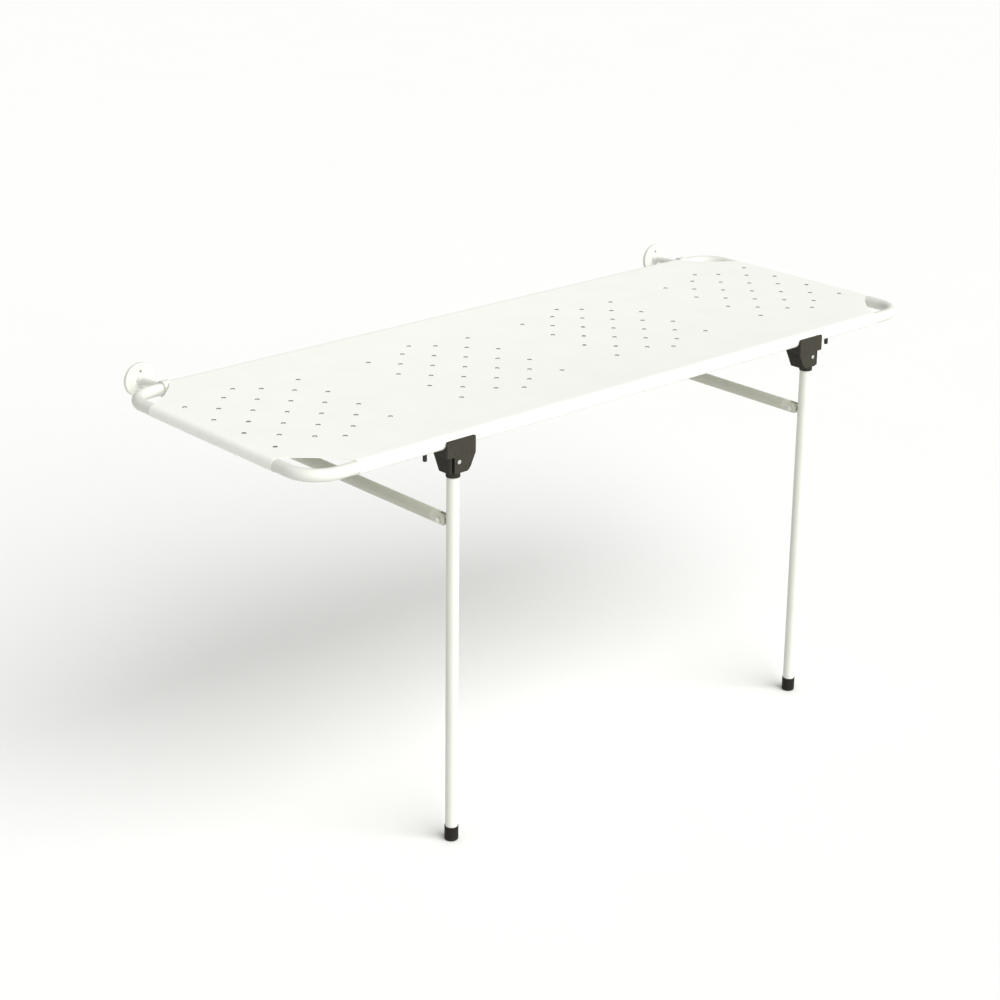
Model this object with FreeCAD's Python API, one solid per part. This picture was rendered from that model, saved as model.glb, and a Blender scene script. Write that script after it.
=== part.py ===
"""Wall-mounted shower stretcher that folds up on two wall brackets, with two legs and two level struts.

Millimetres. X runs along the bed, +Y points at the wall and +Z up. The origin is on the floor, midway
along the bed and midway between the wall and the front of the leg brackets. The bed hinges on its back tube.
Each leg hangs from a pivot behind the front tube, and a strut of the same length as the bed's arm keeps
it upright, so bed, leg, strut and wall form a parallelogram.
"""
import FreeCAD, Part
import math
import os

os.makedirs("parts", exist_ok=True)
V = FreeCAD.Vector
X_AXIS, Y_AXIS, Z_AXIS = V(1, 0, 0), V(0, 1, 0), V(0, 0, 1)

# whole bed, over its cover
bed_length = 1900.0
bed_width = 700.0
bed_top_height = 950.0
wall_distance = 105.0          # back tube's axis to the wall

# ring of round tube and the sheet stretched over it
frame_tube_radius = 14.0
frame_tube_wall = 2.0
corner_bend_radius = 70.0
tube_joint_inset = 250.0       # from the bed's end to the joint between tube and end bow
sheet_thickness = 0.8
sheet_clearance = 0.2
corner_cut = 125.0             # along each tube axis from the corner that the axes would make
pocket_depth = 24.0            # from the tube's axis to where the pocket's hem meets the sheet
hem_width = 10.0
notch_start = 7.0              # from the front tube's axis to the notches for the leg brackets
spigot_length = 100.0
spigot_wall = 2.5
joint_screw_radius = 2.5
joint_screw_offset = 30.0
joint_screw_length = 5.5

# drain holes, four like fields along the bed
drain_radius = 3.5
drain_pitch_x = 50.5
drain_pitch_y = 54.5
drain_lone_offset = 201.0
drain_field_offset = 240.0     # inner fields, from the middle of the bed
drain_field_inset = 206.0      # outer fields, from the bed's ends

# fits and cuts
running_clearance = 0.05
seat_clearance = 0.3
side_clearance = 0.3
overrun = 2.0

# wall brackets with the hinge eyes
hinge_inset = 117.0            # from the bed's end
hinge_drop = 5.0              # flange centre below the hinge axis
flange_radius = 40.0
flange_thickness = 8.0
flange_edge_round = 3.0
wall_screw_spacing = 42.0
wall_screw_radius = 3.5
hub_radius = 12.0
hub_length = 12.0
arm_radius = 8.0
eye_wall = 3.0
eye_width = 18.0
bush_wall = 1.5
bush_flange_thickness = 1.5
bush_flange_lip = 2.0

# legs
leg_inset = 384.0              # from the bed's end
leg_radius = 14.0
leg_wall = 1.5
socket_wall = 1.5
socket_bottom = 80.0           # below the front tube's axis
socket_roof = 26.0
foot_radius = 15.5
foot_height = 33.0
foot_base = 8.0
foot_round = 3.0

# struts, and the offset of their pins from the leg pivot and the bed hinge
strut_drop = 185.0
strut_radius = 14.0
strut_wall = 1.5
strut_leg_gap = 2.0            # between strut and leg when they lie side by side
strut_bed_gap = 3.5            # between strut and back tube when the bed is up
lug_thickness = 8.0
lug_radius = 9.0
fork_slot_end = 11.5           # from the pin to the slot's end
fork_length = 30.0             # from the pin to the fork's shoulder
fork_spigot_length = 26.0
link_pin_radius = 4.0
pin_head_radius = 6.5
pin_head_height = 2.5
rivet_radius = 2.0

# leg brackets
plate_thickness = 4.0
lip_clearance = 3.0
lip_height = 7.0
saddle_outer = 32.0            # from the leg's plane, away from the middle of the bed
saddle_inner = 46.0            # and towards it
saddle_top = -8.0
saddle_bottom = -31.0
block_outer = 12.0
block_inner = 32.0
block_bottom = -68.0
block_back = 36.0              # behind the front tube's axis, under the cradle
block_back_low = 17.0          # and at the bottom
cheek_thickness = 6.0
hub_half_length = 16.0         # from the leg's plane to each cheek's inner face
pivot_pin_radius = 5.0
pivot_boss_radius = 10.5
pivot_hub_radius = 9.0
cheek_slope = 35.0             # degrees, where the cheeks' lower edge leaves the pivot boss
web_half_height = 7.0
web_thickness = 8.0
clamp_screw_drop = 43.0
clamp_screw_radius = 3.0
clamp_head_radius = 5.0
clamp_head_height = 3.0
clamp_recess_radius = 6.5
clamp_recess_depth = 2.0
plate_screw_radius = 1.5
plate_screw_head_radius = 2.6
plate_screw_head_height = 0.8
plate_screw_length = 10.0
plate_corner_round = 3.0
plate_screw_inset = 3.0
plate_screw_rise = 8.0         # the upper two, above the lip's lower edge
plate_slant_inset = 9.0        # the plate's inner lower corner is cut off over this width
plate_slant_height = 8.0       # and this height

# buffer pegs
peg_outboard = 75.0            # from the leg
peg_radius = 4.5
peg_reach = 15.0               # below the cover
peg_round = 1.5
peg_stud_radius = 2.5
peg_stud_length = 4.0

# positions that follow
cover_radius = frame_tube_radius + sheet_clearance + sheet_thickness
sleeve_inner_radius = frame_tube_radius + sheet_clearance
axis_half_length = bed_length / 2 - cover_radius
tube_joint_x = bed_length / 2 - tube_joint_inset
hinge_x = bed_length / 2 - hinge_inset
leg_x = bed_length / 2 - leg_inset
drain_field_x = bed_length / 2 - drain_field_inset
axis_width = bed_width - 2 * cover_radius
axis_height = bed_top_height - cover_radius
plate_back = cover_radius + lip_clearance
plate_front = plate_back + plate_thickness
front_reach = plate_front + max(clamp_head_height - clamp_recess_depth, plate_screw_head_height)
wall_y = (wall_distance + axis_width + front_reach) / 2
back_y = wall_y - wall_distance
front_y = back_y - axis_width
leg_y = front_y - plate_back + leg_radius + socket_wall
leg_pin_y = leg_y + leg_radius + strut_radius + strut_leg_gap
wall_pin_y = back_y - cover_radius - strut_radius - strut_bed_gap
pivot_y = leg_pin_y + back_y - wall_pin_y
strut_z = axis_height - strut_drop
hinge_radius = frame_tube_radius + running_clearance + bush_wall
SIDES = (("left", -1), ("right", 1))


def rod(radius, length, base, direction):
    """A cylinder from its base point along a direction."""
    return Part.makeCylinder(radius, length, base, direction)


def pipe(outer, inner, length, base, direction):
    """A round tube from its base point along a direction."""
    return rod(outer, length, base, direction).cut(rod(inner, length, base, direction))


def across(x_low, x_high, points):
    """A prism between two X values over an outline of (y, z) points."""
    corners = [V(x_low, y, z) for y, z in points]
    face = Part.Face(Part.makePolygon(corners + corners[:1]))
    return face.extrude(V(x_high - x_low, 0, 0))


def block(low, high):
    """An upright box between two corners."""
    return Part.makeBox(high.x - low.x, high.y - low.y, high.z - low.z, low)


def joined(shapes):
    """One solid out of shapes that meet."""
    return shapes[0].multiFuse(shapes[1:]).removeSplitter()


def save(node, shape):
    """Writes one piece, or one group of like pieces, as the node's file."""
    shape.exportStep("parts/" + node + ".step")


def sided(side, low, high):
    """The X range of a span given from the leg's plane, counted towards the middle of the bed."""
    ends = sorted((side * (leg_x - low), side * (leg_x - high)))
    return ends[0], ends[1]


# Frame ring
def bow_path(side):
    """Centre line of one end bow, from the back joint round both corners to the front joint."""
    x_joint = side * tube_joint_x
    x_bend = side * (axis_half_length - corner_bend_radius)
    x_end = side * axis_half_length
    diagonal = corner_bend_radius * math.sqrt(0.5)
    x_middle = x_bend + side * diagonal
    y_back_bend = back_y - corner_bend_radius
    y_front_bend = front_y + corner_bend_radius
    back_joint = V(x_joint, back_y, axis_height)
    back_in = V(x_bend, back_y, axis_height)
    back_out = V(x_end, y_back_bend, axis_height)
    front_in = V(x_end, y_front_bend, axis_height)
    front_out = V(x_bend, front_y, axis_height)
    front_joint = V(x_joint, front_y, axis_height)
    back_middle = V(x_middle, y_back_bend + diagonal, axis_height)
    front_middle = V(x_middle, y_front_bend - diagonal, axis_height)
    return Part.Wire([
        Part.LineSegment(back_joint, back_in).toShape(),
        Part.Arc(back_in, back_middle, back_out).toShape(),
        Part.LineSegment(back_out, front_in).toShape(),
        Part.Arc(front_in, front_middle, front_out).toShape(),
        Part.LineSegment(front_out, front_joint).toShape()])


def swept(path, radius, start, direction):
    """A round bar along a path."""
    ring = Part.Wire(Part.makeCircle(radius, start, direction))
    return path.makePipeShell([ring], True, False)


def joint_screws(y, x_joint):
    """The two grub screws that hold one joint from beneath."""
    base_z = axis_height - frame_tube_radius + sheet_clearance
    return [rod(joint_screw_radius, joint_screw_length, V(x_joint + shift, y, base_z), Z_AXIS)
            for shift in (-joint_screw_offset, joint_screw_offset)]


def joint_screw_holes(y, x_joint):
    """The holes that those grub screws go through, open below."""
    base_z = axis_height - cover_radius - overrun
    depth = cover_radius + overrun - frame_tube_radius + sheet_clearance + joint_screw_length
    radius = joint_screw_radius + running_clearance
    return [rod(radius, depth, V(x_joint + shift, y, base_z), Z_AXIS)
            for shift in (-joint_screw_offset, joint_screw_offset)]


def peg_place(side):
    """Point on the front tube's axis above a peg, and the peg's direction."""
    return V(side * (leg_x + peg_outboard), front_y, axis_height), -Z_AXIS


def long_tube(y):
    """Straight tube between the two end bows."""
    inner = frame_tube_radius - frame_tube_wall
    tube = pipe(frame_tube_radius, inner, 2 * tube_joint_x, V(-tube_joint_x, y, axis_height), X_AXIS)
    holes = joint_screw_holes(y, -tube_joint_x) + joint_screw_holes(y, tube_joint_x)
    return tube.cut(holes)


def make_frame():
    """Front and back tube, end bows, and the spigots and grub screws inside their joints."""
    front_tube = long_tube(front_y)
    stud_holes = []
    for name, side in SIDES:
        start, direction = peg_place(side)
        stud_holes.append(rod(peg_stud_radius + running_clearance, cover_radius, start, direction))
    save("front_tube", front_tube.cut(stud_holes))
    save("back_tube", long_tube(back_y))
    screws = []
    for name, side in SIDES:
        x_joint = side * tube_joint_x
        path = bow_path(side)
        start = V(x_joint, back_y, axis_height)
        bow = swept(path, frame_tube_radius, start, X_AXIS)
        bow = bow.cut(swept(path, frame_tube_radius - frame_tube_wall, start, X_AXIS))
        holes = joint_screw_holes(back_y, x_joint) + joint_screw_holes(front_y, x_joint)
        save("end_bow_" + name, bow.cut(holes))
        for place, y in (("front", front_y), ("back", back_y)):
            outer = frame_tube_radius - frame_tube_wall - running_clearance
            base = V(x_joint - spigot_length / 2, y, axis_height)
            spigot = pipe(outer, outer - spigot_wall, spigot_length, base, X_AXIS)
            save("joint_spigot_" + place + "_" + name, spigot.cut(joint_screw_holes(y, x_joint)))
            screws += joint_screws(y, x_joint)
    save("joint_grub_screws", Part.makeCompound(screws))


# Cover
def drain_places():
    """Centres of the drain holes: each field has seven staggered columns and two lone holes."""
    middle = (front_y + back_y) / 2
    places = []
    for field_x in (-drain_field_x, -drain_field_offset, drain_field_offset, drain_field_x):
        for column in range(-3, 4):
            rows = (-3, -1, 1, 3) if column % 2 else (-2, 0, 2)
            places += [(field_x + column * drain_pitch_x, middle + row * drain_pitch_y) for row in rows]
        places += [(field_x, middle - drain_lone_offset), (field_x, middle + drain_lone_offset)]
    return places


def make_sheet():
    """The stretched sheet, one holed face with its four corners cut off."""
    x_far, x_cut = axis_half_length, axis_half_length - corner_cut
    outline = [
        (-x_cut, back_y), (x_cut, back_y), (x_far, back_y - corner_cut), (x_far, front_y + corner_cut),
        (x_cut, front_y), (-x_cut, front_y), (-x_far, front_y + corner_cut), (-x_far, back_y - corner_cut)]
    z = axis_height + sleeve_inner_radius
    corners = [V(x, y, z) for x, y in outline]
    wires = [Part.makePolygon(corners + corners[:1])]
    wires += [Part.Wire(Part.makeCircle(drain_radius, V(x, y, z), Z_AXIS)) for x, y in drain_places()]
    face = Part.makeFace(wires, "Part::FaceMakerBullseye")
    save("cover_sheet", face.extrude(V(0, 0, sheet_thickness)))


def pocket(place, length_vector):
    """One pocket of sheet round a tube; place turns (inward, up) from the tube's axis into a point.

    Its section runs from the top over the outer side and round below, then leaves the tube on a tangent
    and rises inwards to the underside of the sheet, where its hem is welded.
    """
    roof = sleeve_inner_radius
    turn = 2 * math.atan2(roof, pocket_depth) - math.pi / 2
    halfway = (math.pi / 2 + turn) / 2 + math.pi

    def ring(radius, angle):
        return radius * math.cos(angle), radius * math.sin(angle)

    slope = turn + math.pi / 2
    low_end = (pocket_depth + sheet_thickness * math.tan(slope / 2), roof - sheet_thickness)
    hem_end = pocket_depth + hem_width
    arcs = [(ring(radius, math.pi / 2), ring(radius, halfway), ring(radius, turn))
            for radius in (cover_radius, roof)]
    line = [arcs[0][2], low_end, (hem_end, roof - sheet_thickness), (hem_end, roof),
            (pocket_depth, roof), arcs[1][2]]
    edges = [Part.Arc(*[place(*point) for point in arc]).toShape() for arc in arcs]
    edges += [Part.LineSegment(place(*first), place(*second)).toShape()
              for first, second in zip(line, line[1:])]
    edges.append(Part.LineSegment(place(*arcs[1][0]), place(*arcs[0][0])).toShape())
    section = Part.Wire(Part.__sortEdges__(edges))
    return Part.Face(section).extrude(length_vector)


def make_sleeves():
    """The four pockets; the front one has notches for the leg brackets and holes for the peg studs."""
    x_cut = axis_half_length - corner_cut
    run = V(2 * x_cut, 0, 0)
    front = pocket(lambda inward, up: V(-x_cut, front_y + inward, axis_height + up), run)
    cuts = []
    for name, side in SIDES:
        room = side_clearance + lip_clearance
        x_low, x_high = sided(side, -saddle_outer - room, saddle_inner + room)
        low = V(x_low, front_y + notch_start, axis_height - cover_radius - overrun)
        high = V(x_high, front_y + pocket_depth + hem_width + overrun,
                 axis_height + sleeve_inner_radius)
        cuts.append(block(low, high))
        start, direction = peg_place(side)
        cuts.append(rod(peg_stud_radius + running_clearance, cover_radius + overrun, start, direction))
    save("sleeve_front", front.cut(cuts))
    save("sleeve_back", pocket(lambda inward, up: V(-x_cut, back_y - inward, axis_height + up), run))
    side_run = V(0, axis_width - 2 * corner_cut, 0)
    y_start = front_y + corner_cut
    for name, side in SIDES:
        def place(inward, up, side=side):
            return V(side * (axis_half_length - inward), y_start, axis_height + up)
        save("sleeve_" + name, pocket(place, side_run))


def make_pegs():
    """Buffer pegs below the front tube, each with a stud through cover and tube."""
    cover = rod(cover_radius, 2 * axis_half_length, V(-axis_half_length, front_y, axis_height), X_AXIS)
    for name, side in SIDES:
        start, direction = peg_place(side)
        peg = rod(peg_radius, cover_radius + peg_reach, start, direction)
        tip = start + direction * (cover_radius + peg_reach)
        rim = [edge for edge in peg.Edges if abs(edge.CenterOfMass.sub(tip).Length) < peg_round]
        peg = peg.makeFillet(peg_round, rim).cut(cover)
        stud = rod(peg_stud_radius, peg_stud_length + peg_round,
                   start + direction * (cover_radius - peg_stud_length), direction)
        save("buffer_peg_" + name, joined([peg, stud]))


# Wall brackets
def flange(x, z):
    """Round wall flange with rounded front edge and its two screw holes, one above the other."""
    front = wall_y - flange_thickness
    disc = rod(flange_radius, flange_thickness, V(x, front, z), Y_AXIS)
    rim = [edge for edge in disc.Edges if abs(edge.CenterOfMass.y - front) < flange_edge_round]
    disc = disc.makeFillet(flange_edge_round, rim)
    hub = Part.makeCone(arm_radius, hub_radius, hub_length, V(x, front - hub_length, z), Y_AXIS)
    holes = [rod(wall_screw_radius, flange_thickness + 2 * overrun, V(x, front - overrun, z + offset), Y_AXIS)
             for offset in (-wall_screw_spacing / 2, wall_screw_spacing / 2)]
    return disc.fuse(hub), holes


def make_hinge_brackets():
    """Upper wall brackets: flange, slanting arm, and an eye with its bush round the bare back tube."""
    eye_radius = hinge_radius + running_clearance + eye_wall
    eye_bore = hinge_radius + running_clearance
    for name, side in SIDES:
        x = side * hinge_x
        eye_start = x - eye_width / 2
        foot = V(x, wall_y - flange_thickness / 2, axis_height - hinge_drop)
        head = V(x, back_y, axis_height)
        arm = rod(arm_radius, head.sub(foot).Length, foot, head.sub(foot))
        eye = rod(eye_radius, eye_width, V(eye_start, back_y, axis_height), X_AXIS)
        bore = rod(eye_bore, eye_width + 2 * overrun, V(eye_start - overrun, back_y, axis_height), X_AXIS)
        disc, holes = flange(x, axis_height - hinge_drop)
        save("wall_bracket_" + name, joined([disc, arm, eye]).cut([bore] + holes))
        inner_end = x - side * eye_width / 2
        lip_x = min(inner_end, inner_end - side * bush_flange_thickness)
        shell = rod(hinge_radius, eye_width, V(eye_start, back_y, axis_height), X_AXIS)
        lip_radius = hinge_radius + bush_flange_lip
        lip = rod(lip_radius, bush_flange_thickness, V(lip_x, back_y, axis_height), X_AXIS)
        end = bush_flange_thickness + overrun
        shaft = rod(frame_tube_radius + running_clearance, eye_width + 2 * end,
                    V(eye_start - end, back_y, axis_height), X_AXIS)
        save("hinge_bush_" + name, joined([shell, lip]).cut(shaft))


def lug(x, y, z, root_y):
    """Flat lug with a round end about its pin hole, running along Y to its root."""
    half = lug_thickness / 2
    eye = rod(lug_radius, lug_thickness, V(x - half, y, z), X_AXIS)
    low_y, high_y = min(y, root_y), max(y, root_y)
    web = block(V(x - half, low_y, z - lug_radius), V(x + half, high_y, z + lug_radius))
    return eye.fuse(web)


def pin_hole(x, y, z):
    """Cutter for a strut pin's hole."""
    return rod(link_pin_radius + running_clearance, 2 * strut_radius + 2 * overrun,
               V(x - strut_radius - overrun, y, z), X_AXIS)


def link_pin(x, y, z):
    """Strut pin with a flat head on both ends, outside the fork."""
    half = strut_radius + side_clearance
    start = x - half - pin_head_height
    shank = rod(link_pin_radius, 2 * half + 2 * pin_head_height, V(start, y, z), X_AXIS)
    heads = [rod(pin_head_radius, pin_head_height, V(head_x, y, z), X_AXIS) for head_x in (start, x + half)]
    return joined([shank] + heads)


def make_strut_brackets():
    """Lower wall brackets: flange, level arm and the lug that each strut turns on, with its pin."""
    root_y = wall_pin_y + strut_radius + strut_leg_gap
    for name, side in SIDES:
        x = side * leg_x
        disc, holes = flange(x, strut_z)
        arm_length = wall_y - flange_thickness / 2 - root_y
        arm = rod(strut_radius, arm_length, V(x, root_y, strut_z), Y_AXIS)
        tongue = lug(x, wall_pin_y, strut_z, root_y + overrun)
        bracket = joined([disc, arm, tongue]).cut(holes + [pin_hole(x, wall_pin_y, strut_z)])
        save("strut_wall_bracket_" + name, bracket)
        save("strut_wall_pin_" + name, link_pin(x, wall_pin_y, strut_z))


# Struts
def fork(x, pin_y, toward):
    """End fork: round nose about the pin, slot for the lug, and a spigot inside the strut tube."""
    nose = rod(strut_radius, 2 * strut_radius, V(x - strut_radius, pin_y, strut_z), X_AXIS)
    start = V(x, pin_y, strut_z)
    barrel = rod(strut_radius, fork_length, start, V(0, toward, 0))
    ball = nose.common(rod(strut_radius, 2 * strut_radius, V(x, pin_y - strut_radius, strut_z), Y_AXIS))
    inner = strut_radius - strut_wall - running_clearance
    shoulder = V(x, pin_y + toward * fork_length, strut_z)
    spigot = rod(inner, fork_spigot_length, shoulder, V(0, toward, 0))
    half = lug_thickness / 2 + side_clearance
    ends = sorted((pin_y - toward * (strut_radius + overrun), pin_y + toward * fork_slot_end))
    slot = block(V(x - half, ends[0], strut_z - strut_radius - overrun),
                 V(x + half, ends[1], strut_z + strut_radius + overrun))
    return joined([ball, barrel, spigot]).cut([slot, pin_hole(x, pin_y, strut_z)])


def rivet_hole(x, y):
    """Cutter for a rivet across the strut."""
    return rod(rivet_radius + running_clearance, 2 * strut_radius + 2 * overrun,
               V(x, y, strut_z - strut_radius - overrun), Z_AXIS)


def make_struts():
    """Strut tubes with a riveted fork in each end, and the pin at the leg."""
    wall_shoulder = wall_pin_y - fork_length
    leg_shoulder = leg_pin_y + fork_length
    for name, side in SIDES:
        x = side * leg_x
        rivet_ys = (leg_shoulder + fork_spigot_length / 2, wall_shoulder - fork_spigot_length / 2)
        holes = [rivet_hole(x, y) for y in rivet_ys]
        tube = pipe(strut_radius, strut_radius - strut_wall, wall_shoulder - leg_shoulder,
                    V(x, leg_shoulder, strut_z), Y_AXIS)
        save("strut_tube_" + name, tube.cut(holes))
        save("strut_fork_leg_" + name, fork(x, leg_pin_y, 1).cut(holes))
        save("strut_fork_wall_" + name, fork(x, wall_pin_y, -1).cut(holes))
        rivets = [rod(rivet_radius, 2 * strut_radius, V(x, y, strut_z - strut_radius), Z_AXIS)
                  for y in rivet_ys]
        save("strut_rivets_" + name, Part.makeCompound(rivets))
        save("strut_leg_pin_" + name, link_pin(x, leg_pin_y, strut_z))


# Legs
def make_legs():
    """Leg tubes with their rubber feet and the lugs that the struts are pinned to."""
    for name, side in SIDES:
        x = side * leg_x
        top = axis_height - socket_roof
        tube = pipe(leg_radius, leg_radius - leg_wall, top - foot_base, V(x, leg_y, foot_base), Z_AXIS)
        screw_z = axis_height - clamp_screw_drop
        screw_hole = rod(clamp_screw_radius + running_clearance, 2 * leg_radius + 2 * overrun,
                         V(x, leg_y - leg_radius - overrun, screw_z), Y_AXIS)
        save("leg_tube_" + name, tube.cut(screw_hole))
        foot = rod(foot_radius, foot_height, V(x, leg_y, 0), Z_AXIS)
        rim = [edge for edge in foot.Edges if edge.CenterOfMass.z < foot_round]
        foot = foot.makeFillet(foot_round, [edge for edge in rim if len(edge.Vertexes) == 1])
        bore = rod(leg_radius + running_clearance, foot_height, V(x, leg_y, foot_base), Z_AXIS)
        save("leg_foot_" + name, foot.cut(bore))
        leg = rod(leg_radius, 2 * strut_drop, V(x, leg_y, strut_z - strut_drop), Z_AXIS)
        tongue = lug(x, leg_pin_y, strut_z, leg_y).cut(leg)
        save("strut_lug_" + name, tongue.cut(pin_hole(x, leg_pin_y, strut_z)))


# Leg brackets
def bracket_side_outline():
    """Side outline of the cheeks, as (y, z): under the front tube, back and up to the pivot boss."""
    slope = math.radians(cheek_slope)
    boss_side = pivot_boss_radius * math.sin(slope)
    boss_low = axis_height - pivot_boss_radius * math.cos(slope)
    return core_outline()[:1] + [
        (front_y + cover_radius, axis_height),
        (pivot_y, axis_height + pivot_boss_radius),
        (pivot_y + boss_side, boss_low)] + core_outline()[3:]


def core_outline():
    """Side outline of the block under the front tube, as (y, z)."""
    return [
        (front_y - plate_back, axis_height + saddle_top),
        (front_y + cover_radius, axis_height + saddle_top),
        (front_y + cover_radius, axis_height + saddle_bottom),
        (front_y + block_back, axis_height + saddle_bottom),
        (front_y + block_back_low, axis_height + block_bottom),
        (front_y - plate_back, axis_height + block_bottom)]


def make_leg_brackets():
    """Moulded brackets with cradle, cheeks and socket, their front plates, screws and pivot pins."""
    for name, side in SIDES:
        x = side * leg_x
        wing_low, wing_high = sided(side, -saddle_outer, saddle_inner)
        cut_length = wing_high - wing_low + 2 * overrun
        cradle = rod(cover_radius + seat_clearance, cut_length,
                     V(wing_low - overrun, front_y, axis_height), X_AXIS)
        core_low, core_high = sided(side, -block_outer, block_inner)
        core = across(core_low, core_high, core_outline())
        wings = across(wing_low, wing_high, [
            (front_y - plate_back, axis_height + saddle_top),
            (front_y + cover_radius, axis_height + saddle_top),
            (front_y + cover_radius, axis_height + saddle_bottom),
            (front_y - plate_back, axis_height + saddle_bottom)])
        pieces = [core, wings]
        for low, high in ((-hub_half_length - cheek_thickness, -hub_half_length),
                          (hub_half_length, hub_half_length + cheek_thickness)):
            x_low, x_high = sided(side, low, high)
            pieces.append(across(x_low, x_high, bracket_side_outline()))
            pieces.append(rod(pivot_boss_radius, cheek_thickness, V(x_low, pivot_y, axis_height), X_AXIS))
        socket_z = axis_height - socket_bottom
        socket_height = socket_bottom + saddle_bottom
        pieces.append(rod(leg_radius + socket_wall, socket_height, V(x, leg_y, socket_z), Z_AXIS))
        bore = rod(leg_radius + running_clearance, socket_bottom - socket_roof + overrun,
                   V(x, leg_y, socket_z - overrun), Z_AXIS)
        pin_bore = rod(pivot_pin_radius + running_clearance, cut_length,
                       V(wing_low - overrun, pivot_y, axis_height), X_AXIS)
        screw_z = axis_height - clamp_screw_drop
        screw_bore = rod(clamp_screw_radius + running_clearance, plate_back + leg_radius,
                         V(x, front_y - plate_back - overrun, screw_z), Y_AXIS)
        screw_places = plate_screw_places(side)
        small_bores = [rod(plate_screw_radius + running_clearance, plate_screw_length + overrun,
                           V(px, front_y - plate_front, pz), Y_AXIS) for px, pz in screw_places]
        bracket = joined(pieces).cut([cradle, bore, pin_bore, screw_bore] + small_bores)
        save("leg_bracket_" + name, bracket)
        make_front_plate(name, side, small_bores)
        head_y = front_y - plate_front + clamp_recess_depth
        screw = rod(clamp_screw_radius, plate_back + leg_radius, V(x, head_y, screw_z), Y_AXIS)
        head = rod(clamp_head_radius, clamp_head_height, V(x, head_y - clamp_head_height, screw_z), Y_AXIS)
        save("leg_clamp_screw_" + name, joined([screw, head]))
        screws = []
        for px, pz in screw_places:
            shank = rod(plate_screw_radius, plate_screw_length, V(px, front_y - plate_front, pz), Y_AXIS)
            cap = rod(plate_screw_head_radius, plate_screw_head_height,
                      V(px, front_y - plate_front - plate_screw_head_height, pz), Y_AXIS)
            screws.append(joined([shank, cap]))
        save("plate_screws_" + name, Part.makeCompound(screws))
        pin_half = hub_half_length + cheek_thickness
        pin = rod(pivot_pin_radius, 2 * pin_half, V(x - pin_half, pivot_y, axis_height), X_AXIS)
        heads = [rod(pivot_hub_radius, pin_head_height, V(start, pivot_y, axis_height), X_AXIS)
                 for start in (x - pin_half - pin_head_height, x + pin_half)]
        save("pivot_pin_" + name, joined([pin] + heads))


def plate_screw_places(side):
    """The three small screws of a front plate, as (x, z)."""
    high_z = axis_height + saddle_bottom + plate_screw_rise
    low_z = axis_height + block_bottom + plate_slant_height
    return [(side * (leg_x + block_outer - plate_screw_inset), high_z),
            (side * (leg_x - block_inner + 2 * plate_screw_inset), high_z),
            (side * (leg_x - block_inner + plate_slant_inset), low_z)]


def make_front_plate(name, side, small_bores):
    """Front plate: wide lip over the front of the bed tube, narrower below, wider towards the middle."""
    top = axis_height + lip_height
    shoulder = axis_height + saddle_bottom
    bottom = axis_height + block_bottom
    points = [(-saddle_outer, top), (saddle_inner, top), (saddle_inner, shoulder),
              (block_inner, bottom + plate_slant_height), (block_inner - plate_slant_inset, bottom),
              (-block_outer, bottom), (-block_outer, shoulder), (-saddle_outer, shoulder)]
    corners = [V(side * (leg_x - px), front_y - plate_front, pz) for px, pz in points]
    plate = Part.Face(Part.makePolygon(corners + corners[:1])).extrude(V(0, plate_thickness, 0))
    middle = front_y - plate_back - plate_thickness / 2
    uprights = [edge for edge in plate.Edges if abs(edge.CenterOfMass.y - middle) < running_clearance]
    plate = plate.makeFillet(plate_corner_round, uprights)
    x = side * leg_x
    screw_z = axis_height - clamp_screw_drop
    recess = rod(clamp_recess_radius, clamp_recess_depth + overrun,
                 V(x, front_y - plate_front - overrun, screw_z), Y_AXIS)
    hole = rod(clamp_screw_radius + running_clearance, plate_thickness + 2 * overrun,
               V(x, front_y - plate_front - overrun, screw_z), Y_AXIS)
    save("bracket_plate_" + name, plate.cut([recess, hole] + small_bores))


def make_pivot_lugs():
    """Lugs welded to the back of the front tube, each with a hub between the bracket's cheeks."""
    tube = rod(frame_tube_radius, 2 * tube_joint_x, V(-tube_joint_x, front_y, axis_height), X_AXIS)
    hub_half = hub_half_length - side_clearance
    for name, side in SIDES:
        x = side * leg_x
        hub = rod(pivot_hub_radius, 2 * hub_half, V(x - hub_half, pivot_y, axis_height), X_AXIS)
        web = block(V(x - web_thickness / 2, front_y, axis_height - web_half_height),
                    V(x + web_thickness / 2, pivot_y, axis_height + web_half_height))
        bore = rod(pivot_pin_radius + running_clearance, 2 * hub_half + 2 * overrun,
                   V(x - hub_half - overrun, pivot_y, axis_height), X_AXIS)
        save("pivot_lug_" + name, joined([hub, web]).cut([tube, bore]))


make_frame()
make_sheet()
make_sleeves()
make_pegs()
make_hinge_brackets()
make_strut_brackets()
make_struts()
make_legs()
make_leg_brackets()
make_pivot_lugs()
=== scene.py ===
import bmesh
import bpy
import math
from mathutils import Matrix, Vector


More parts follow.
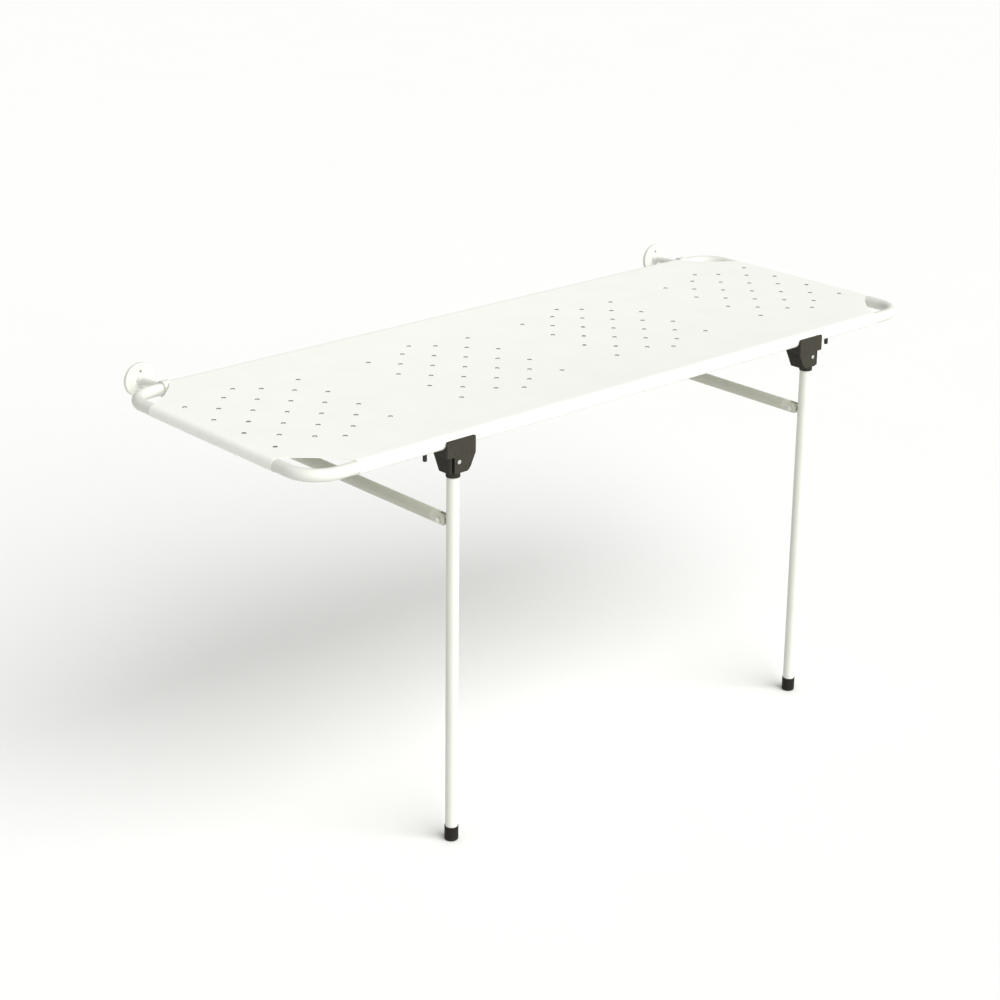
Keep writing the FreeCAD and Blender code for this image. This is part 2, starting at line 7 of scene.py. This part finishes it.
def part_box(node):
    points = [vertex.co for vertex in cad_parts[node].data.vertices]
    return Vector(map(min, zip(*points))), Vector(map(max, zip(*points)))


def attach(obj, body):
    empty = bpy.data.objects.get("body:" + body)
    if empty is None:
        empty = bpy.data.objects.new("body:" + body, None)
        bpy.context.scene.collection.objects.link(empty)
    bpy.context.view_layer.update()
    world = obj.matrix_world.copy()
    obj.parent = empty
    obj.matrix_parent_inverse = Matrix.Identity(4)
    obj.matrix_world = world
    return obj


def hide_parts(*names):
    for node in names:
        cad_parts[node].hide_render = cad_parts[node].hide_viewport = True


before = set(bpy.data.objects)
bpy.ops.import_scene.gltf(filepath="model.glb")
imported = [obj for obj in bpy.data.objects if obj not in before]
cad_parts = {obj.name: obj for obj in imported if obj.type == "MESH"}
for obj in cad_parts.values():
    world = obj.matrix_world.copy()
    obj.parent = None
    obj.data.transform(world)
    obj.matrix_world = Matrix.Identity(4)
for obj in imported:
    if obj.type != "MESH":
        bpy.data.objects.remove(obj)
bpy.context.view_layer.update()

# Camera. It stands five metres off, to the left of the stretcher's front and a metre and a half above
# the sheet, and looks down on it at seventeen degrees. The object stands high in the picture, which
# the small shift gives.
camera_from_hinge = Vector((-3.322355, -3.857893, 1.511150))
azimuth, elevation, roll = 0.735978, 0.302319, 0.011287
film_width, focal_ratio, film_shift = 36, 2.146072, -0.15
hinge_low, hinge_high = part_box("back_tube")
level_ahead = Vector((math.sin(azimuth), math.cos(azimuth), 0))
level_right = Vector((math.cos(azimuth), -math.sin(azimuth), 0))
ahead = level_ahead * math.cos(elevation) - Vector((0, 0, math.sin(elevation)))
upward = level_ahead * math.sin(elevation) + Vector((0, 0, math.cos(elevation)))
right = level_right * math.cos(roll) + upward * math.sin(roll)
upward = upward * math.cos(roll) - level_right * math.sin(roll)
lens = bpy.data.cameras.new("camera")
lens.sensor_width = film_width
lens.lens = film_width * focal_ratio
lens.shift_y = film_shift
camera = bpy.data.objects.new("camera", lens)
camera.matrix_world = Matrix((right, upward, -ahead)).transposed().to_4x4()
camera.location = (hinge_low + hinge_high) / 2 + camera_from_hinge
bpy.context.scene.collection.objects.link(camera)
bpy.context.scene.camera = camera

# Wall brackets. Four welded steel brackets, a round flange with two screw holes and an arm each: the
# upper pair ends in eyes for the bed's back tube, the lower pair in lugs for the struts. They are
# powder coated white like the bed frame and the legs.


class Signal:
    """A value in a finish; sums, products and the like of it are Math nodes."""

    def __init__(self, tree, socket):
        self.tree, self.socket = tree, socket

    def maths(self, operation, *values):
        node = self.tree.nodes.new("ShaderNodeMath")
        node.operation = operation
        for socket, value in zip(node.inputs, values):
            if isinstance(value, Signal):
                self.tree.links.new(value.socket, socket)
            else:
                socket.default_value = value
        return Signal(self.tree, node.outputs[0])

    def __add__(self, other):
        return self.maths("ADD", self, other)

    def __sub__(self, other):
        return self.maths("SUBTRACT", self, other)

    def __rsub__(self, other):
        return self.maths("SUBTRACT", other, self)

    def __mul__(self, other):
        return self.maths("MULTIPLY", self, other)

    def __lt__(self, other):
        return self.maths("LESS_THAN", self, other)

    def __gt__(self, other):
        return self.maths("GREATER_THAN", self, other)

    def __abs__(self):
        return self.maths("ABSOLUTE", self)

    __radd__, __rmul__ = __add__, __mul__


class Finish:
    """A material on a Principled shader; constants go on its sockets, what varies is linked to them."""

    def __init__(self, name, **constants):
        self.material = bpy.data.materials.new(name)
        self.material.use_nodes = True
        self.tree = self.material.node_tree
        self.shader = self.tree.nodes["Principled BSDF"]
        for socket, value in constants.items():
            self.shader.inputs[socket.replace("_", " ")].default_value = value

    def node(self, kind, settings, sockets, output=0):
        node = self.tree.nodes.new("ShaderNode" + kind)
        for name, value in settings.items():
            setattr(node, name, value)
        for name, value in sockets.items():
            if isinstance(value, Signal):
                self.tree.links.new(value.socket, node.inputs[name])
            else:
                node.inputs[name].default_value = value
        return Signal(self.tree, node.outputs[output])

    def noise(self, vector, scale, detail=2.0):
        return self.node("TexNoise", {}, {"Vector": vector, "Scale": scale, "Detail": detail})

    def place(self):
        return self.node("TexCoord", {}, {}, "Object")

    def stretched(self, vector, scale):
        return self.node("Mapping", {}, {"Vector": vector, "Scale": scale})

    def between(self, share, first, second):
        """The colour that lies this share of the way from the first to the second."""
        share_socket, first_socket, second_socket, colour_output = 0, 6, 7, 2
        first, second = [end if isinstance(end, Signal) else (*end, 1) for end in (first, second)]
        sockets = {share_socket: share, first_socket: first, second_socket: second}
        return self.node("Mix", {"data_type": "RGBA"}, sockets, colour_output)

    def bump(self, height, strength, distance):
        return self.node("Bump", {}, {"Height": height, "Strength": strength, "Distance": distance})

    def link(self, **signals):
        for socket, signal in signals.items():
            self.tree.links.new(signal.socket, self.shader.inputs[socket.replace("_", " ")])


def dress(finish, *names):
    """Gives these pieces of the frame this finish and no other."""
    for name in names:
        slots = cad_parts[name].data.materials
        slots.clear()
        slots.append(finish.material)


def powder_coat(name, dark, light):
    """Baked powder paint, faintly clouded, with the fine dimples that it sets with."""
    finish = Finish(name, Specular_IOR_Level=0.45, Coat_Weight=0.12, Coat_Roughness=0.2)
    spot = finish.place()
    cloud = finish.noise(spot, scale=14.0, detail=3.0)
    peel = finish.noise(spot, scale=850.0)
    finish.link(
        Base_Color=finish.between(cloud, dark, light),
        Roughness=0.30 + cloud * 0.10 + peel * 0.06,
        Normal=finish.bump(peel, strength=0.18, distance=0.0004))
    return finish


coat = powder_coat("white_powder_coat", dark=(0.63, 0.64, 0.585), light=(0.68, 0.69, 0.645))
dress(coat, "wall_bracket_left", "wall_bracket_right",
      "strut_wall_bracket_left", "strut_wall_bracket_right")

# Hinge bushes. Turned plastic sleeves with a lip, pressed into the eyes of the upper brackets; the
# back tube turns in them. They are off white and a little waxy.
bush_dull, bush_pale = (0.72, 0.72, 0.68), (0.78, 0.78, 0.74)
turning_marks = (1800, 90, 90)
bush = Finish("bush_plastic", Specular_IOR_Level=0.5, Subsurface_Weight=0.08, Subsurface_Scale=0.002)
turned = bush.noise(bush.stretched(bush.place(), turning_marks), scale=1.0)
bush.link(Base_Color=bush.between(turned, bush_dull, bush_pale),
          Roughness=0.34 + turned * 0.14,
          Normal=bush.bump(turned, strength=0.12, distance=0.0002))
dress(bush, "hinge_bush_left", "hinge_bush_right")

# Bed frame. Front and back tube and two end bows of 28 mm tube, joined end to end over inner spigots
# of bare tube and held by zinc plated grub screws. Lugs for the legs are welded behind the front tube.
dress(coat, "front_tube", "back_tube", "end_bow_left", "end_bow_right",
      "pivot_lug_left", "pivot_lug_right")
bare_dark, bare_light = (0.62, 0.62, 0.63), (0.80, 0.80, 0.81)
drawing_marks = (20, 900, 900)
bare = Finish("drawn_aluminium", Metallic=1.0)
drawn = bare.noise(bare.stretched(bare.place(), drawing_marks), scale=1.0, detail=4.0)
bare.link(Base_Color=bare.between(drawn, bare_dark, bare_light),
          Roughness=0.28 + drawn * 0.2,
          Normal=bare.bump(drawn, strength=0.2, distance=0.0002))
dress(bare, *[f"joint_spigot_{edge}_{side}" for edge in ("front", "back") for side in ("left", "right")])
zinc_bright, zinc_grey = (0.82, 0.82, 0.80), (0.60, 0.61, 0.60)
zinc = Finish("zinc_plate", Metallic=1.0)
spot = zinc.place()
spangle = zinc.node("TexVoronoi", {}, {"Vector": spot, "Scale": 420.0})
rubbed = zinc.noise(spot, scale=1500.0, detail=3.0)
zinc.link(Base_Color=zinc.between(spangle, zinc_bright, zinc_grey),
          Roughness=0.2 + rubbed * 0.22,
          Normal=zinc.bump(rubbed, strength=0.15, distance=0.0002))
dress(zinc, "joint_grub_screws")

# Cover. One sheet of coated fabric with punched drain holes and cut corners; its four flaps go round
# the tubes and come back up under the sheet, where their hems are welded to it. Stretched tight, it
# sags a few millimetres, and two gaps in the front flap let the leg brackets reach the tube.
low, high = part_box("front_tube")
tube_height, front_axis = (low.z + high.z) / 2, (low.y + high.y) / 2
low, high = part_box("back_tube")
middle = ((low.y + high.y) / 2 + front_axis) / 2
half_width = middle - front_axis
half_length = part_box("end_bow_right")[1].x - (high.z - low.z) / 2
low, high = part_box("leg_tube_right")
leg_place = (low.x + high.x) / 2
wrap_radius, thickness, sag = 0.0146, 0.0008, 0.005
pocket, hem, hem_gap = 0.024, 0.010, 0.00005
corner, hollow, hollow_room = 0.114, 0.010, 0.055
hole_pitch_x, hole_pitch_y, lone_hole = 0.0505, 0.0545, 0.201
field_centres = (-0.744, -0.240, 0.240, 0.744)
four_holes, three_holes = (-3, -1, 1, 3), (-2, 0, 2)
hole_room, hole_radius, shade_ring_radius, lip_radius, lip_depth = 0.008, 0.0035, 0.0050, 0.0062, 0.0009
gap_outer, gap_inner, turn_to_gap = leg_place + 0.0345, leg_place - 0.0493, math.radians(208.7)
leaving_turn = 2 * math.atan2(wrap_radius - thickness / 2, pocket) - math.pi / 2
arc = wrap_radius * (1.5 * math.pi + leaving_turn)
foot_of_rise = Vector((wrap_radius * math.cos(leaving_turn), wrap_radius * math.sin(leaving_turn)))
top_of_rise = Vector((pocket, wrap_radius - thickness - hem_gap))
rise = (top_of_rise - foot_of_rise).length
flap = arc + rise + hem
taper_start = 0.8 * arc

# Drain holes: four fields of seven columns, each with one more hole before it and one behind.
holes = []
for field in field_centres:
    for column in range(-3, 4):
        steps = four_holes if column % 2 else three_holes
        holes += [(field + column * hole_pitch_x, step * hole_pitch_y) for step in steps]
    holes += [(field, -lone_hole), (field, lone_hole)]

# The sheet is cut flat from a grid, whose lines lie close round the tubes, at each hole and each cut.
wrap_lines, edge_line, line_digits, cell_digits = 16, 0.01, 5, 4
spare_columns, spare_rows = [0.45, 0.035], [0.238, 0.262, 0.286, 0.308]
wrap_steps = [wrap_radius * turn_to_gap * step / wrap_lines for step in range(wrap_lines + 1)]
gap_start = wrap_steps[-1]
wrap_steps += [(gap_start + arc) / 2, arc, arc + rise / 2, arc + rise, arc + rise + hem / 2, flap]


def cut_lines(places, half, spare):
    """The flat sheet's lines one way: five for each hole, and the rest on both sides of the middle."""
    across_holes = {round(place + step * hole_room / 2, line_digits)
                    for place in places for step in range(-2, 3)}
    others = [half + step for step in wrap_steps] + [half - corner, half - edge_line] + spare
    both_sides = {round(side * other, line_digits) for other in others for side in (-1, 1)}
    return sorted(across_holes | both_sides)


columns = cut_lines({x for x, y in holes}, half_length, [gap_outer, gap_inner] + spare_columns)
rows = cut_lines({y for x, y in holes}, half_width, spare_rows)
cloth = bmesh.new()
bmesh.ops.create_grid(cloth, x_segments=len(columns) - 1, y_segments=len(rows) - 1, size=1)
for lines, axis in ((columns, 0), (rows, 1)):
    for vertex in cloth.verts:
        vertex.co[axis] = lines[round((vertex.co[axis] + 1) / 2 * (len(lines) - 1))]

# The square corners between the flaps go, and the two gaps for the leg brackets.
off_cut = []
for face in cloth.faces:
    x, y = face.calc_center_median()[:2]
    past_end, past_edge = abs(x) - half_length, abs(y) - half_width
    beside_end = past_end > 0 and past_edge > -corner
    beside_edge = past_edge > 0 and past_end > -corner
    in_gap = gap_inner < abs(x) < gap_outer and y < -half_width - gap_start
    if beside_end or beside_edge or in_gap:
        off_cut.append(face)
bmesh.ops.delete(cloth, geom=off_cut, context="FACES")


def trim(faces, point, outward):
    """Cuts these faces of the flat sheet off where they pass a line through the point."""
    parts = list(dict.fromkeys(part for face in faces for part in (face, *face.edges, *face.verts)))
    bmesh.ops.bisect_plane(cloth, geom=parts, dist=1e-5, plane_co=point, plane_no=outward,
                           clear_outer=True)


# The flaps' ends are tapered, and the corners cut off at a slant, which the pull makes hollow.
cut_x, cut_y = half_length - corner, half_width - corner
for end in (-1, 1):
    for edge in (-1, 1):
        outward = Vector((end, edge, 0)).normalized()
        end_flap = [face for face in cloth.faces if end * face.calc_center_median().x > half_length]
        trim(end_flap, (end * (half_length + taper_start), edge * cut_y, 0), outward)
        edge_flap = [face for face in cloth.faces if edge * face.calc_center_median().y > half_width]
        trim(edge_flap, (end * cut_x, edge * (half_width + taper_start), 0), outward)
        block = [face for face in cloth.faces
                 if end * face.calc_center_median().x > cut_x
                 and edge * face.calc_center_median().y > cut_y]
        trim(block, (end * cut_x, edge * half_width, 0), outward)
        for vertex in cloth.verts:
            along_end, along_edge = end * vertex.co.x - cut_x, edge * vertex.co.y - cut_y
            inside = (corner - along_end - along_edge) / math.sqrt(2)
            share = 0.5 + (along_end - along_edge) / corner / 2
            near = min(along_end, along_edge) > -hollow_room and inside < hollow_room
            if near and 0 < share < 1:
                vertex.co -= outward * hollow * 4 * share * (1 - share) * (1 - inside / hollow_room)

# Each hole is punched through a pressed rim, which is sunk by nearly a millimetre. Its two inner
# rings are marked for painted shade, which greys each hole's rim.
hole_shade_mark = cloth.verts.layers.float.new("hole_shade_mark")
rough_inset = 0.0005
hole_rings = ((lip_radius, 0, 0), (shade_ring_radius, lip_depth / 3, 1), (hole_radius, lip_depth, 1))
cells = {(round(vertex.co.x, cell_digits), round(vertex.co.y, cell_digits)): vertex
         for vertex in cloth.verts}
for x, y in holes:
    near_x = [round(x + step * hole_room / 2, cell_digits) for step in (-1, 0, 1)]
    near_y = [round(y + step * hole_room / 2, cell_digits) for step in (-1, 0, 1)]
    inner = [cells[across, along] for across in near_x for along in near_y]
    around = list(dict.fromkeys(face for vertex in inner for face in vertex.link_faces))
    blank = bmesh.ops.dissolve_faces(cloth, faces=around)["region"][0]
    for radius, depth, painted_shade in hole_rings:
        bmesh.ops.inset_individual(cloth, faces=[blank], thickness=rough_inset)
        for vertex in blank.verts:
            away = Vector((vertex.co.x - x, vertex.co.y - y, 0)).normalized() * radius
            vertex.co = (x + away.x, y + away.y, -depth)
            vertex[hole_shade_mark] = painted_shade
    bmesh.ops.delete(cloth, geom=[blank], context="FACES_ONLY")

# The plan of the flat sheet is kept, because the weave and the weld lines follow it.
flat_plan = cloth.loops.layers.uv.new("flat_plan")
for face in cloth.faces:
    for loop in face.loops:
        loop[flat_plan].uv = loop.vert.co.xy


def round_the_tube(past):
    """From the tube's axis, how far inwards and upwards a flap lies at this length past the axis."""
    if past <= arc:
        turn = past / wrap_radius
        return Vector((-wrap_radius * math.sin(turn), wrap_radius * math.cos(turn)))
    if past <= arc + rise:
        return foot_of_rise.lerp(top_of_rise, (past - arc) / rise)
    return top_of_rise + Vector((past - arc - rise, 0))


# The flaps go round the tubes, and the sheet sags between them.
for vertex in cloth.verts:
    x, y, z = vertex.co
    past_end, past_edge = abs(x) - half_length, abs(y) - half_width
    past = max(past_end, past_edge)
    inward, up = (0, wrap_radius) if past <= 0 else round_the_tube(past)
    if past_end > 0:
        x = math.copysign(half_length - inward, x)
    elif past_edge > 0:
        y = math.copysign(half_width - inward, y)
    slack = (1 - (x / half_length) ** 2) * (1 - (y / half_width) ** 2) * sag
    share = 1 if past <= 0 else min(max((past - arc) / rise, 0), 1)
    vertex.co = (x, y + middle, tube_height + up + z - max(slack, 0) * share)

bmesh.ops.recalc_face_normals(cloth, faces=cloth.faces)
top = [face for face in cloth.faces if face.calc_center_median().z > tube_height + wrap_radius / 2]
if sum(face.normal.z for face in top) < 0:
    bmesh.ops.reverse_faces(cloth, faces=cloth.faces)


def coated_fabric():
    """A fine weave under a smooth coat, painted shade round each hole, and two weld lines in each hem.
    """
    cloth_low, cloth_high, hole_shade_grey = (0.775, 0.785, 0.735), (0.82, 0.825, 0.785), (0.15, 0.15, 0.13)
    thread_scale, weld_inset, half_weld = 320.0, 0.002, 0.0012
    finish = Finish("coated_fabric", Specular_IOR_Level=0.4, Coat_Roughness=0.3, Coat_Weight=0.08)
    plan = finish.node("TexCoord", {}, {}, "UV")
    flow = finish.noise(plan, scale=9.0, detail=3.0)
    threads = finish.node("TexWave", {"wave_profile": "SIN"}, {"Vector": plan, "Scale": thread_scale})
    crossed = finish.node("TexWave", {"wave_profile": "SIN", "bands_direction": "Y"},
                          {"Vector": plan, "Scale": thread_scale})
    grain = finish.noise(plan, scale=1400.0)
    along = finish.node("SeparateXYZ", {}, {"Vector": plan}, "X")
    over = finish.node("SeparateXYZ", {}, {"Vector": plan}, "Y")
    welds = 0
    for inset in (pocket + weld_inset, pocket + hem - weld_inset):
        end_weld = (abs(abs(along) - (half_length - inset)) < half_weld) * (abs(over) < cut_y)
        edge_weld = (abs(abs(over) - (half_width - inset)) < half_weld) * (abs(along) < cut_x)
        welds = end_weld + edge_weld + welds
    # The grey round each hole is painted shade, in place of the shade seen through the hole.
    hole_shade = finish.node("Attribute", {"attribute_name": "hole_shade_mark"}, {}, "Fac")
    height = (threads + crossed) * 0.25 + grain * 0.5 - welds * 1.5
    finish.link(
        Base_Color=finish.between(hole_shade, finish.between(flow, cloth_low, cloth_high), hole_shade_grey),
        Roughness=0.36 + grain * 0.12 - welds * 0.1,
        Normal=finish.bump(height, strength=0.12, distance=0.0003))
    return finish


def finished_piece(name, shape, finish):
    """Makes an object at the origin of a shape, and gives it its finish."""
    mesh = bpy.data.meshes.new(name)
    shape.to_mesh(mesh)
    shape.free()
    mesh.materials.append(finish.material)
    piece = bpy.data.objects.new(name, mesh)
    bpy.context.scene.collection.objects.link(piece)
    return piece


cover = finished_piece("cover", cloth, coated_fabric())
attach(cover, "bed")
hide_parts("cover_sheet", "sleeve_front", "sleeve_back", "sleeve_left", "sleeve_right")
crease = math.radians(50)

# The fabric gets its thickness, half of it on each side.
gauge = cover.modifiers.new("gauge", "SOLIDIFY")
gauge.thickness, gauge.offset = thickness, 0
bpy.context.view_layer.update()
cover.data = bpy.data.meshes.new_from_object(cover.evaluated_get(bpy.context.evaluated_depsgraph_get()))
cover.modifiers.clear()
cover.data.shade_smooth()
cover.data.set_sharp_from_angle(angle=crease)

# Its flat size before the cuts, and what the cuts, the tapers and the holes leave of its area.
flat_length, flat_width = 2 * (half_length + flap), 2 * (half_width + flap)
corner_cuts = 2 * corner ** 2 + 4 * hollow * corner * math.sqrt(2) * 2 / 3
flaps = flap * 4 * (half_length + half_width - 2 * corner) - 4 * (flap - taper_start) ** 2
bracket_gaps = 2 * (gap_outer - gap_inner) * (flap - gap_start)
punched = len(holes) * math.pi * hole_radius ** 2
cut_area = 4 * half_length * half_width - corner_cuts + flaps - bracket_gaps - punched

# Buffer pegs. Two short black mouldings below the front tube, one beside each leg bracket. Each is
# pressed through the cover into a hole in the tube.
peg_dark, peg_light = (0.018, 0.018, 0.018), (0.034, 0.034, 0.032)
peg = Finish("black_moulding", Specular_IOR_Level=0.5)
spot = peg.place()
satin = peg.noise(spot, scale=1300.0)
peg.link(Base_Color=peg.between(peg.noise(spot, scale=60.0), peg_dark, peg_light),
         Roughness=0.38 + satin * 0.2,
         Normal=peg.bump(satin, strength=0.2, distance=0.0003))
dress(peg, "buffer_peg_left", "buffer_peg_right")

# Leg brackets. A dark glass-filled moulding on each leg: a cradle for the front tube with two cheeks,
# a socket for the leg, and a plate held on in front by black screws. It is dull and finely grained;
# the clamp screw in the plate and the pin that the leg turns on are zinc plated.
for name, dark, light, nodes in (
        ("bracket_moulding", (0.022, 0.020, 0.014), (0.042, 0.038, 0.027),
         ("leg_bracket_left", "leg_bracket_right")),
        ("plate_moulding", (0.036, 0.033, 0.023), (0.058, 0.053, 0.038),
         ("bracket_plate_left", "bracket_plate_right"))):
    moulding = Finish(name, Specular_IOR_Level=0.4)
    spot = moulding.place()
    grains = moulding.node("TexVoronoi", {}, {"Vector": spot, "Scale": 1100.0})
    flow = moulding.noise(spot, scale=45.0, detail=4.0)
    moulding.link(Base_Color=moulding.between(flow, dark, light),
                  Roughness=0.5 + grains * 0.25,
                  Normal=moulding.bump(grains, strength=0.35, distance=0.0004))
    dress(moulding, *nodes)
dress(zinc, "leg_clamp_screw_left", "leg_clamp_screw_right", "pivot_pin_left", "pivot_pin_right")
black_dark, black_worn = (0.05, 0.05, 0.045), (0.13, 0.12, 0.11)
black = Finish("black_passivated_steel", Metallic=0.6, Specular_IOR_Level=0.5)
worn = black.noise(black.place(), scale=600.0, detail=4.0)
black.link(Base_Color=black.between(worn, black_dark, black_worn),
           Roughness=0.34 + worn * 0.2,
           Normal=black.bump(worn, strength=0.15, distance=0.0002))
dress(black, "plate_screws_left", "plate_screws_right")

# Legs. Two upright powder coated tubes, each held in its bracket's socket by the bright clamp screw,
# with a black rubber foot pushed on below and a lug for the strut welded on behind.
dress(coat, "leg_tube_left", "leg_tube_right", "strut_lug_left", "strut_lug_right")
rubber_dark, rubber_bloom, scuffed_height = (0.010, 0.008, 0.005), (0.034, 0.028, 0.020), 0.006
rubber = Finish("foot_rubber", Specular_IOR_Level=0.35)
spot = rubber.place()
bloom = rubber.noise(spot, scale=70.0, detail=5.0)
pores = rubber.noise(spot, scale=1600.0)
height = rubber.node("SeparateXYZ", {}, {"Vector": spot}, "Z")
scuff = (height < scuffed_height) * bloom
rubber.link(Base_Color=rubber.between(bloom * 0.6 + scuff, rubber_dark, rubber_bloom),
            Roughness=0.52 + bloom * 0.2 + scuff * 0.15,
            Normal=rubber.bump(pores, strength=0.35, distance=0.0004))
dress(rubber, "leg_foot_left", "leg_foot_right")

# Struts. A level tube from each leg to the wall, plugged at both ends with cast forks that two rivets
# hold; pins join the forks to the leg's lug and the wall bracket, so that the leg stays upright. The
# tubes' khaki-grey coat is a darker copy of the white powder coat: painted shade, for the shade they
# lie in under the bed.
strut_coat_with_painted_shade = powder_coat("strut_coat_painted_shade", dark=(0.50, 0.505, 0.43), light=(0.55, 0.555, 0.49))
dress(strut_coat_with_painted_shade, "strut_tube_left", "strut_tube_right")
cast_dark, cast_light = (0.56, 0.56, 0.48), (0.62, 0.62, 0.54)
cast = Finish("white_casting", Specular_IOR_Level=0.42)
spot = cast.place()
sand = cast.noise(spot, scale=520.0, detail=5.0)
cast.link(Base_Color=cast.between(cast.noise(spot, scale=30.0, detail=3.0), cast_dark, cast_light),
          Roughness=0.36 + sand * 0.16,
          Normal=cast.bump(sand, strength=0.3, distance=0.0005))
for side in ("left", "right"):
    dress(cast, f"strut_fork_leg_{side}", f"strut_fork_wall_{side}")
    dress(zinc, f"strut_rivets_{side}", f"strut_leg_pin_{side}", f"strut_wall_pin_{side}")

# Floor and light. A pale floor without a pattern, one wide soft lamp from in front and above, and an
# even white sky, as in a picture taken for a catalogue.
floor_half, floor_drop = 30, 0.0003
paper_dark, paper_light = (0.80, 0.80, 0.79), (0.81, 0.81, 0.80)
ground = bmesh.new()
bmesh.ops.create_grid(ground, x_segments=1, y_segments=1, size=floor_half)
bmesh.ops.translate(ground, vec=(0, 0, -floor_drop), verts=ground.verts)
paper = Finish("floor_paper", Specular_IOR_Level=0.2)
spot = paper.place()
paper.link(Base_Color=paper.between(paper.noise(spot, scale=2.0), paper_dark, paper_light),
           Roughness=0.8 + paper.noise(spot, scale=40.0) * 0.05)
floor = finished_piece("floor", ground, paper)

lamp_strength, lamp_spread, lamp_heading = 3.55, math.radians(65), Vector((-0.08, 0.79, -0.61))
sky_colour, sky_strength, picture_gamma = (1.0, 1.0, 0.99, 1), 0.56, 0.86
lamp = bpy.data.lights.new("front_lamp", "SUN")
lamp.energy, lamp.angle = lamp_strength, lamp_spread
fitting = bpy.data.objects.new("front_lamp", lamp)
fitting.rotation_euler = lamp_heading.to_track_quat("-Z", "Y").to_euler()
bpy.context.scene.collection.objects.link(fitting)
sky = bpy.data.worlds.new("sky")
sky.use_nodes = True
sky.node_tree.nodes["Background"].inputs["Color"].default_value = sky_colour
sky.node_tree.nodes["Background"].inputs["Strength"].default_value = sky_strength
bpy.context.scene.world = sky
bpy.context.scene.view_settings.view_transform = "Standard"
bpy.context.scene.view_settings.gamma = picture_gamma
